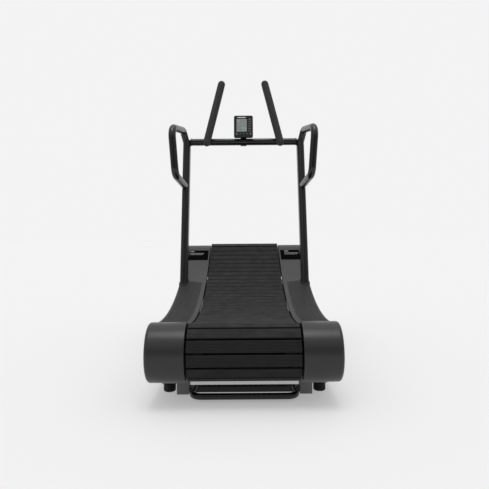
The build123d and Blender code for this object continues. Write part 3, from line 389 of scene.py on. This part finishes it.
DRUM_HALF, DRUM_R, DRUM_POINTS = 155 * MM, 80 * MM, 72


def pad_outline():
    """Rubber cover of a slat: rounded shoulders and fine grooves along its length."""
    half = SLAT_WIDTH / 2
    corner = half - PAD_ROUND
    first = corner - GROOVE_MARGIN
    points = [(-half, PAD_BOTTOM), (half, PAD_BOTTOM), *arc(corner, SLAT_TOP - PAD_ROUND, PAD_ROUND, 0)]
    for k in range(GROOVE_COUNT):
        middle = first - 2 * first * k / (GROOVE_COUNT - 1)
        points += [(middle + GROOVE_HALF, SLAT_TOP), (middle + GROOVE_HALF / 2, SLAT_TOP - GROOVE_DEPTH),
                   (middle - GROOVE_HALF / 2, SLAT_TOP - GROOVE_DEPTH), (middle - GROOVE_HALF, SLAT_TOP)]
    return points + arc(-corner, SLAT_TOP - PAD_ROUND, PAD_ROUND, 90)


def base_outline():
    """Extruded base of a slat: a shallow channel with turned-in lips under the rubber."""
    half = BASE_WIDTH / 2
    side, down = BASE_CHAMFER
    right = [(half - BASE_LIP, 0), (half, BASE_LIP), (half, PAD_BOTTOM - down), (half - side, PAD_BOTTOM)]
    return right + [(-x, y) for x, y in reversed(right)]


def rib_outline():
    """Stiffening rib under a slat, with a rolled lower edge."""
    half = RIB_THICK / 2
    return [(-half, 0), *arc(0, half - RIB_DEPTH, half, 180, 180), (half, 0)]


def band_ring(travel, x_low, x_high):
    """Section of a drive band at a place along the belt."""
    y, z, theta = belt_place(travel)
    return [(x, y - depth * sin(theta), z + depth * cos(theta))
            for x, depth in ((x_low, BAND_NEAR), (x_high, BAND_NEAR), (x_high, BAND_FAR), (x_low, BAND_FAR))]


def build_belt(body, node, start, end):
    """One stretch of the belt: rubber-covered slats, their extrusions and the two drive bands."""
    pads, metal, bands = bmesh.new(), bmesh.new(), bmesh.new()
    middles = [(index + SLAT_PHASE) * PITCH for index in range(SLAT_COUNT)]
    for middle in middles:
        if start <= middle < end:
            place = belt_place(middle)
            prism(pads, pad_outline(), SLAT_HALF, place, PAD_INSET)
            prism(metal, base_outline(), SLAT_HALF - BASE_INSET, place)
            prism(metal, rib_outline(), RIB_HALF, place)
    low, high = start + BAND_GAP, end - BAND_GAP
    steps = round((high - low) / BAND_STEP)
    for side in (-1, 1):
        edges = sorted(side * x for x in BAND_X)
        loft(bands, [band_ring(low + (high - low) * k / steps, *edges) for k in range(steps + 1)])
    pad = new_piece(f"{body}_tread_pads", pads, TREAD, body, 25)
    new_piece(f"{body}_slat_extrusions", metal, SLAT_METAL, body)
    new_piece(f"{body}_drive_bands", bands, BAND, body)
    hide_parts(node)


def build_guard(name, centre, start):
    """Dust guards behind the ends of the slats, half way round a roller."""
    bm = bmesh.new()
    for side in (-1, 1):
        section = [(side * x * MM, radius * MM) for x, radius in GUARD_SECTION]
        turned(bm, centre, section, GUARD_POINTS, start, pi)
    new_piece(f"belt_guard_{name}", bm, BAND, "base")


def build_drum(body, centre):
    """Closed drum between the two pulleys of a roller."""
    bm = bmesh.new()
    places = [polar(centre, 2 * pi * k / DRUM_POINTS, DRUM_R) for k in range(DRUM_POINTS)]
    loft(bm, [[(x, *place) for place in places] for x in (-DRUM_HALF, DRUM_HALF)])
    new_piece(f"{body}_drum", bm, BAND, body)


stretch_start = 0
for stretch_body, stretch_node, stretch_length in BELT_STRETCHES:
    build_belt(stretch_body, stretch_node, stretch_start, stretch_start + stretch_length)
    stretch_start += stretch_length
build_guard("rear", REAR, PHI_REAR + pi)
build_guard("front", FRONT, PHI_FRONT)
build_drum("rear_roller", REAR)
build_drum("front_roller", FRONT)

# --- Foot rails ----------------------------------------------------------------------
RAIL_R = RUN_R - 8 * MM               # top of the foot rail, about the centre of the belt's arc
RIDGE_X = (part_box("edge_strips")[1][0] + 6.5 * MM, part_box("foot_rail_right")[1][0] - 4.5 * MM)
# (along, up) in mm from the rail's top.
RIDGE_SECTION = ((-1.9, -0.15), (-1.425, 0.495), (-0.57, 0.9), (0.57, 0.9), (1.425, 0.495), (1.9, -0.15))
RIDGE_STEP, RIDGE_WAVE, RIDGE_WAVE_LENGTH = 9 * MM, 2.6 * MM, 21.8 * MM
RIDGE_POINTS, RIDGE_FIRST, RIDGE_SHORTEST = 60, 2, 4     # sections, first row, fewest sections
SEAM_START, SEAM_END = (222 * MM, 207 * MM), (371 * MM, 247 * MM)    # X and Y, as for the upright's room
SEAM_ROOM = 6 * MM
UPRIGHT_ROOM = (317 * MM, 163 * MM)


def ridge_fits(x, y):
    """Whether a place on the foot rail is clear of the seam and of the upright's collar."""
    share = (x - SEAM_START[0]) / (SEAM_END[0] - SEAM_START[0])
    seam = SEAM_START[1] + share * (SEAM_END[1] - SEAM_START[1])
    return y < seam - SEAM_ROOM and not (x > UPRIGHT_ROOM[0] and y > UPRIGHT_ROOM[1])


def ridge_ring(side, x, phi):
    """Low rounded section of an anti-slip ridge, across the foot rail."""
    return [(side * x, *polar(CENTRE, phi + along * MM / RAIL_R, RAIL_R - up * MM))
            for along, up in RIDGE_SECTION]


def build_foot_grip(name, side):
    """Waved anti-slip ridges on a foot rail."""
    bm = bmesh.new()
    for row in range(RIDGE_FIRST, int(PHI_SWEEP * RAIL_R / RIDGE_STEP)):
        rings = []
        for k in range(RIDGE_POINTS + 1):
            across = (RIDGE_X[1] - RIDGE_X[0]) * k / RIDGE_POINTS
            wave = RIDGE_WAVE * sin(2 * pi * across / RIDGE_WAVE_LENGTH)
            phi = PHI_REAR + (row * RIDGE_STEP + wave) / RAIL_R
            x = RIDGE_X[0] + across
            if ridge_fits(x, polar(CENTRE, phi, RAIL_R)[0]):
                rings.append(ridge_ring(side, x, phi))
        if len(rings) >= RIDGE_SHORTEST:
            loft(bm, rings)
    new_piece(f"foot_rail_ridges_{name}", bm, FOOT_RAIL, "base")


for side_name, side_sign in SIDES:
    build_foot_grip(side_name, side_sign)

# --- Base and frame details ----------------------------------------------------------
UPRIGHT_X, UPRIGHT_LEAN = 348 * MM, radians(13.45)
UPRIGHT_PLACE = (223 * MM, 403 * MM)  # a place on the upright's axis, in Y and Z
UPRIGHT_HALF, UPRIGHT_FLAT = 21.75 * MM, 16.25 * MM
COVER_TOP_R, COVER_START = RUN_R - 3 * MM, SEAM_END[1] - 10 * MM
# Sections in mm: (out, up) for the collar, (x, out) for the tyre, (depth, radius) for the hub.
COLLAR_SECTION = ((0.1, -7), (0.1, 7.5), (1.3, 8.2), (2.7, 7.2), (5.2, 1.6), (5.2, -7))
TYRE_SECTION = ((-2, -1), (-1.4, -0.1), (1.4, -0.1), (2, -1))
HUB_SECTION = ((6.2, 14), (3.5, 15.5), (3, 24), (6.2, 27.5))
COLLAR_POINTS = 48
TYRE_SHARES = (0.3, 0.5, 0.7)         # places of the tyre's rings, across its width
WELD_R, WELD_IN, WELD_SINK, WELD_POINTS = 3.4 * MM, 3.2 * MM, 0.6 * MM, 10
GRIP_LOW, GRIP_HIGH = Vector((223, 371, 1212)) * MM, Vector((135.4, 461, 1592)) * MM
GRIP_R, GRIP_POINTS = 22.5 * MM, 40
GRIP_FIRST, GRIP_STEP, GRIP_COUNT = 0.30, 0.028, 24    # rings, in shares of the grip's length
GRIP_SECTION = ((-2.2, -0.6), (-1.4, 0.45), (1.4, 0.45), (2.2, -0.6))    # (along, out) in mm
FILM = 0.12 * MM                      # thickness of printed marks
LABEL_R, LABEL_STEPS = RUN_R - 4.5 * MM, 4
# X in mm, then degrees about the centre of the belt's arc.
LABEL_BARS = ((-346, -322, 33.0, 33.35), (-346, -258, 32.35, 32.55), (-346, -264, 31.95, 32.1),
              (255, 282, 33.0, 33.35), (255, 344, 32.35, 32.55), (255, 336, 31.95, 32.1))


def beside_upright(turn, out):
    """X from the upright's middle, and Y and Z, of a place beside its flat-oval section."""
    x, along = (UPRIGHT_HALF + out) * cos(turn), (UPRIGHT_HALF + out) * sin(turn)
    along += UPRIGHT_FLAT if along > 0 else -UPRIGHT_FLAT
    return x, UPRIGHT_PLACE[0] + along * cos(UPRIGHT_LEAN), UPRIGHT_PLACE[1] - along * sin(UPRIGHT_LEAN)


def collar_ring(side, turn):
    """Section of the rubber collar where the upright passes through the top of the housing."""
    forward, upward = sin(UPRIGHT_LEAN), cos(UPRIGHT_LEAN)
    ring = []
    for out, up in COLLAR_SECTION:
        x, y, z = beside_upright(turn, out * MM)
        top = COVER_TOP_R if y > COVER_START else RAIL_R
        dy, dz = y - CENTRE[0], z - CENTRE[1]
        inner = dy * forward + dz * upward
        rise = up * MM - inner - sqrt(inner**2 - dy**2 - dz**2 + top**2)
        ring.append((side * (UPRIGHT_X + x), y + rise * forward, z + rise * upward))
    return ring


def build_collar(name, side):
    """Rubber collar round the foot of an upright."""
    bm = bmesh.new()
    turns = [2 * pi * (k + 0.5) / COLLAR_POINTS for k in range(COLLAR_POINTS)]
    loft(bm, [collar_ring(side, turn) for turn in turns], closed=True)
    new_piece(f"upright_collar_{name}", bm, WHEEL_RUBBER, "base")


def build_wheel_rings(name, side):
    """Rings round a transport wheel's tyre, and on both faces of its hub."""
    bm = bmesh.new()
    wheel_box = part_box(f"transport_wheel_{name}")
    wheel_place = joint_yz(f"transport_wheel_{name}_roll")
    wheel_radius = wheel_box[1][1] - wheel_place[0]
    inner, outer = sorted((corner[0] for corner in wheel_box), key=abs)
    for share in TYRE_SHARES:
        middle = inner + (outer - inner) * share
        turned(bm, wheel_place, [(middle + x * MM, wheel_radius + out * MM) for x, out in TYRE_SECTION])
    for face, inward in ((inner, side), (outer, -side)):
        turned(bm, wheel_place, [(face + inward * depth * MM, radius * MM) for depth, radius in HUB_SECTION])
    body = f"transport_wheel_{name}_body"
    new_piece(f"transport_wheel_rings_{name}", bm, WHEEL_RUBBER, body)


def build_weld(name, side):
    """Weld bead between the crossbar and an upright."""
    bm = bmesh.new()
    low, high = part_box("crossbar")
    middle = ((low[1] + high[1]) / 2, (low[2] + high[2]) / 2)
    x, radius = side * (high[0] - WELD_IN), (high[1] - low[1]) / 2 - WELD_SINK
    turns = [2 * pi * k / WELD_POINTS for k in range(WELD_POINTS)]
    turned(bm, middle, [(x + WELD_R * cos(turn), radius + WELD_R * sin(turn)) for turn in turns])
    new_piece(f"crossbar_weld_{name}", bm, FRAME_PAINT, "base")


def build_grip_rings(name, side):
    """Raised rings along the rubber grip of a push post."""
    bm = bmesh.new()
    low, high = (Vector((side * end.x, end.y, end.z)) for end in (GRIP_LOW, GRIP_HIGH))
    axis = (high - low).normalized()
    first = axis.orthogonal().normalized()
    second = axis.cross(first)
    turns = [2 * pi * k / GRIP_POINTS for k in range(GRIP_POINTS)]
    for index in range(GRIP_COUNT):
        middle = low + (high - low) * (GRIP_FIRST + GRIP_STEP * index)
        rings = []
        for turn in turns:
            away = first * cos(turn) + second * sin(turn)
            rings.append([middle + axis * along * MM + away * (GRIP_R + out * MM)
                          for along, out in GRIP_SECTION])
        loft(bm, rings, closed=True)
    new_piece(f"push_grip_rings_{name}", bm, GRIP, "base")


def build_label_bars():
    """Plain pale bars on the label plates."""
    bm = bmesh.new()
    for x_low, x_high, low, high in LABEL_BARS:
        rings = []
        for k in range(LABEL_STEPS + 1):
            phi = radians(low + (high - low) * k / LABEL_STEPS)
            section = ((x_low, FILM), (x_high, FILM), (x_high, -FILM), (x_low, -FILM))
            rings.append([(x * MM, *polar(CENTRE, phi, LABEL_R + lift)) for x, lift in section])
        loft(bm, rings)
    new_piece("label_plain_bars", bm, KEY_MARK, "base")


for side_name, side_sign in SIDES:
    build_collar(side_name, side_sign)
    build_wheel_rings(side_name, side_sign)
    build_weld(side_name, side_sign)
    build_grip_rings(side_name, side_sign)
build_label_bars()

# --- Console -------------------------------------------------------------------------
PIVOT = joint_yz("console_tilt")
TILT = asin(-JOINTS["key_stop_press"]["axis"][2])    # keys press straight into the leaning face
GLASS, CASE_FRONT, KEY_TOP = 35.4 * MM, 36 * MM, 37.2 * MM
WINDOW_X, WINDOW_Y, WINDOW_ROOM = (-42 * MM, 20.5 * MM), (10.4 * MM, 93 * MM), 1.2 * MM
PROGRAM_KEYS = [node for node in frame["nodes"] if node.startswith("key_program_")]
# Figures, height of their lower edge, their width and height, in mm.
FIGURE_ROWS = (("1234", 70, 10, 16), ("0530", 47, 10, 15), ("26", 27, 9, 13), ("145", 15, 6, 8))
FIGURE_LEFT, FIGURE_GAP = 6, 4
RULE_HEIGHTS, RULE_ROOM, RULE_HALF = (66, 43, 24.5), 3 * MM, 0.35 * MM
SEGMENTS = {"0": "abcdef", "1": "bc", "2": "abdeg", "3": "abcdg", "4": "bcfg", "5": "acdfg", "6": "acdefg"}
SEGMENT_GAP, SEGMENT_HALF = 0.15, 0.09
BAR_MIDDLE, BAR_HALF = (-11.5 * MM, 103 * MM), (25.5 * MM, 3.4 * MM)
# Outlines in mm from the middle of the key, with X to the right and Y up.
DOWN_MARK = ((-2.4, 1.4), (0, -2.4), (2.4, 1.4))
UP_MARK = ((-2.4, -1.4), (2.4, -1.4), (0, 2.4))
START_MARK = ((-2, -3.4), (3.6, 0), (-2, 3.4))


def console_point(x, y, depth):
    """Place on the console: x across, y up its face, depth out of the face towards the user."""
    return (x, PIVOT[0] + y * sin(TILT) - depth * cos(TILT), PIVOT[1] + y * cos(TILT) + depth * sin(TILT))


def key_middle(key):
    """X and the height up the console's face of a key's middle."""
    low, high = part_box(key)
    x, y, z = ((low[k] + high[k]) / 2 for k in range(3))
    return x, (y - PIVOT[0]) * sin(TILT) + (z - PIVOT[1]) * cos(TILT)


def slab(bm, outline, low, high):
    """Thin slab on the console's face between two depths."""
    loft(bm, [[console_point(x, y, depth) for x, y in outline] for depth in (low, high)])


def rounded(x, y, half_x, half_y, radius):
    """Outline of a rounded rectangle about a middle."""
    points = []
    for quarter, (x_sign, y_sign) in enumerate(((1, 1), (-1, 1), (-1, -1), (1, -1))):
        points += arc(x + x_sign * (half_x - radius), y + y_sign * (half_y - radius), radius, 90 * quarter)
    return points


def segment(x, y, x_end, y_end, half):
    """Pointed bar of a figure on the display."""
    dx, dy = x_end - x, y_end - y
    tip = half / hypot(dx, dy)
    sides = ((SEGMENT_GAP, 0), (SEGMENT_GAP + tip, 1), (1 - SEGMENT_GAP - tip, 1), (1 - SEGMENT_GAP, 0),
             (1 - SEGMENT_GAP - tip, -1), (SEGMENT_GAP + tip, -1))
    return [(x + dx * along - dy * tip * out, y + dy * along + dx * tip * out) for along, out in sides]


def figure(bm, digit, x, y, width, height):
    """One seven-segment figure on the display, from its lower left corner."""
    middle, top, right = y + height / 2, y + height, x + width
    lines = {"a": (x, top, right, top), "g": (x, middle, right, middle), "d": (x, y, right, y),
             "b": (right, middle, right, top), "c": (right, y, right, middle),
             "e": (x, y, x, middle), "f": (x, middle, x, top)}
    for name in SEGMENTS[digit]:
        slab(bm, segment(*lines[name], SEGMENT_HALF * width), GLASS + 2 * FILM, GLASS + 3 * FILM)


def build_display():
    """Display film in the window, and generic figures on it with rules between their rows."""
    bm = bmesh.new()
    middle_x, middle_y = sum(WINDOW_X) / 2, sum(WINDOW_Y) / 2
    half_x, half_y = ((high - low) / 2 - WINDOW_ROOM for low, high in (WINDOW_X, WINDOW_Y))
    slab(bm, rounded(middle_x, middle_y, half_x, half_y, 2 * MM), GLASS + FILM / 4, GLASS + 2 * FILM)
    new_piece("console_display_film", bm, DISPLAY, "console")
    bm = bmesh.new()
    for digits, low, width, height in FIGURE_ROWS:
        for k, digit in enumerate(digits):
            left = WINDOW_X[0] + (FIGURE_LEFT + k * (width + FIGURE_GAP)) * MM
            figure(bm, digit, left, low * MM, width * MM, height * MM)
    for low in RULE_HEIGHTS:
        rule = rounded(middle_x, low * MM, half_x - RULE_ROOM, RULE_HALF, 0.3 * MM)
        slab(bm, rule, GLASS + 2 * FILM, GLASS + 3 * FILM)
    new_piece("console_display_figures", bm, INK, "console")


def build_plain_bar():
    """Plain pale bar over the window."""
    bm = bmesh.new()
    slab(bm, rounded(*BAR_MIDDLE, *BAR_HALF, 1.5 * MM), CASE_FRONT, CASE_FRONT + FILM)
    new_piece("console_plain_bar", bm, LEGEND, "console")


def build_key_mark(key, outline):
    """Plain mark on a key."""
    x_middle, y_middle = key_middle(key)
    bm = bmesh.new()
    slab(bm, [(x_middle + x * MM, y_middle + y * MM) for x, y in outline], KEY_TOP, KEY_TOP + FILM)
    new_piece(f"{key}_legend", bm, KEY_MARK, f"{key}_body")


build_display()
build_plain_bar()
for program_key in PROGRAM_KEYS:
    build_key_mark(program_key, rounded(0, 0, 6, 0.8, 0.7))
build_key_mark("key_stop", rounded(0, 0, 3, 3, 0.5))
build_key_mark("key_down", DOWN_MARK)
build_key_mark("key_enter", rounded(0, 0, 1.8, 1.8, 1.7))
build_key_mark("key_up", UP_MARK)
build_key_mark("key_start", START_MARK)

# --- Studio --------------------------------------------------------------------------
BACKDROP = 0.896
DOME_NEAR, DOME_FAR = 0.15, 0.85      # strength on the camera's side, and beyond the treadmill
FLOOR_HALF, FLOOR_GLOW, FLOOR_ALBEDO = 60, 0.34, 0.55
# Name and power, then width, tilt from overhead and turn about the vertical, in degrees.
SUNS = (("top", 0.9, 30, 8, 0), ("over", 0.8, 100, 12, 0),
        ("left", 0.3, 60, 58, -50), ("right", 0.22, 60, 58, 60))
CAMERA_PLACE = (0.010, -2.665, 0.650)    # metres
CAMERA_LENS, CAMERA_SENSOR = 36.81, 36.0
CAMERA_ROLL = -0.42
CAMERA_SHIFT = (-0.0028, -0.0194)


def floor_material():
    """Matt floor whose own glow makes it meet the backdrop without a line."""
    material = bpy.data.materials.new("floor_pale")
    material.use_nodes = True
    shader = material.node_tree.nodes["Principled BSDF"]
    shader.inputs["Base Color"].default_value = (FLOOR_ALBEDO, FLOOR_ALBEDO, FLOOR_ALBEDO, 1)
    shader.inputs["Roughness"].default_value = 1.0
    shader.inputs["Specular IOR Level"].default_value = 0.0
    shader.inputs["Emission Color"].default_value = (1, 1, 1, 1)
    shader.inputs["Emission Strength"].default_value = FLOOR_GLOW
    return material


def build_floor():
    """Wide pale floor under the treadmill."""
    bm = bmesh.new()
    corners = ((-1, -1), (1, -1), (1, 1), (-1, 1))
    bm.faces.new([bm.verts.new((x * FLOOR_HALF, y * FLOOR_HALF, 0)) for x, y in corners])
    add_object("floor", bm, floor_material())


def build_world():
    """Pale backdrop for the camera, and a dome light that is stronger beyond the treadmill."""
    world = bpy.data.worlds.new("studio")
    bpy.context.scene.world = world
    world.use_nodes = True
    nodes, links = world.node_tree.nodes, world.node_tree.links
    backdrop = nodes["Background"]
    backdrop.inputs["Color"].default_value = (BACKDROP, BACKDROP, BACKDROP, 1)
    dome = nodes.new("ShaderNodeBackground")
    dome.inputs["Color"].default_value = (1, 1, 1, 1)
    direction = nodes.new("ShaderNodeTexCoord")
    split = nodes.new("ShaderNodeSeparateXYZ")
    sweep = nodes.new("ShaderNodeMapRange")
    sweep.interpolation_type = "SMOOTHSTEP"
    for key, value in (("From Min", -0.3), ("From Max", 0.8), ("To Min", DOME_NEAR), ("To Max", DOME_FAR)):
        sweep.inputs[key].default_value = value
    path = nodes.new("ShaderNodeLightPath")
    mix = nodes.new("ShaderNodeMixShader")
    links.new(direction.outputs["Generated"], split.inputs[0])
    links.new(split.outputs["Y"], sweep.inputs["Value"])
    links.new(sweep.outputs[0], dome.inputs["Strength"])
    links.new(path.outputs["Is Camera Ray"], mix.inputs["Fac"])
    links.new(dome.outputs[0], mix.inputs[1])
    links.new(backdrop.outputs[0], mix.inputs[2])
    links.new(mix.outputs[0], nodes["World Output"].inputs["Surface"])


def build_suns():
    """Four broad soft suns: two from overhead and one from each side."""
    for name, power, spread, tilt, turn in SUNS:
        sun = bpy.data.lights.new(f"sun_{name}", "SUN")
        sun.energy = power
        sun.angle = radians(spread)
        holder = bpy.data.objects.new(f"sun_{name}", sun)
        holder.rotation_euler = (radians(tilt), 0, radians(turn))
        bpy.context.scene.collection.objects.link(holder)


def build_camera():
    """Level camera behind the treadmill, close to its middle plane."""
    camera = bpy.data.cameras.new("camera")
    camera.lens = CAMERA_LENS
    camera.sensor_width = CAMERA_SENSOR
    camera.shift_x, camera.shift_y = CAMERA_SHIFT
    holder = bpy.data.objects.new("camera", camera)
    holder.matrix_world = (Matrix.Translation(CAMERA_PLACE) @ Matrix.Rotation(radians(90), 4, "X")
                           @ Matrix.Rotation(radians(CAMERA_ROLL), 4, "Z"))
    bpy.context.scene.collection.objects.link(holder)
    bpy.context.scene.camera = holder


build_floor()
build_world()
build_suns()
build_camera()
bpy.context.scene.view_settings.view_transform = "Standard"
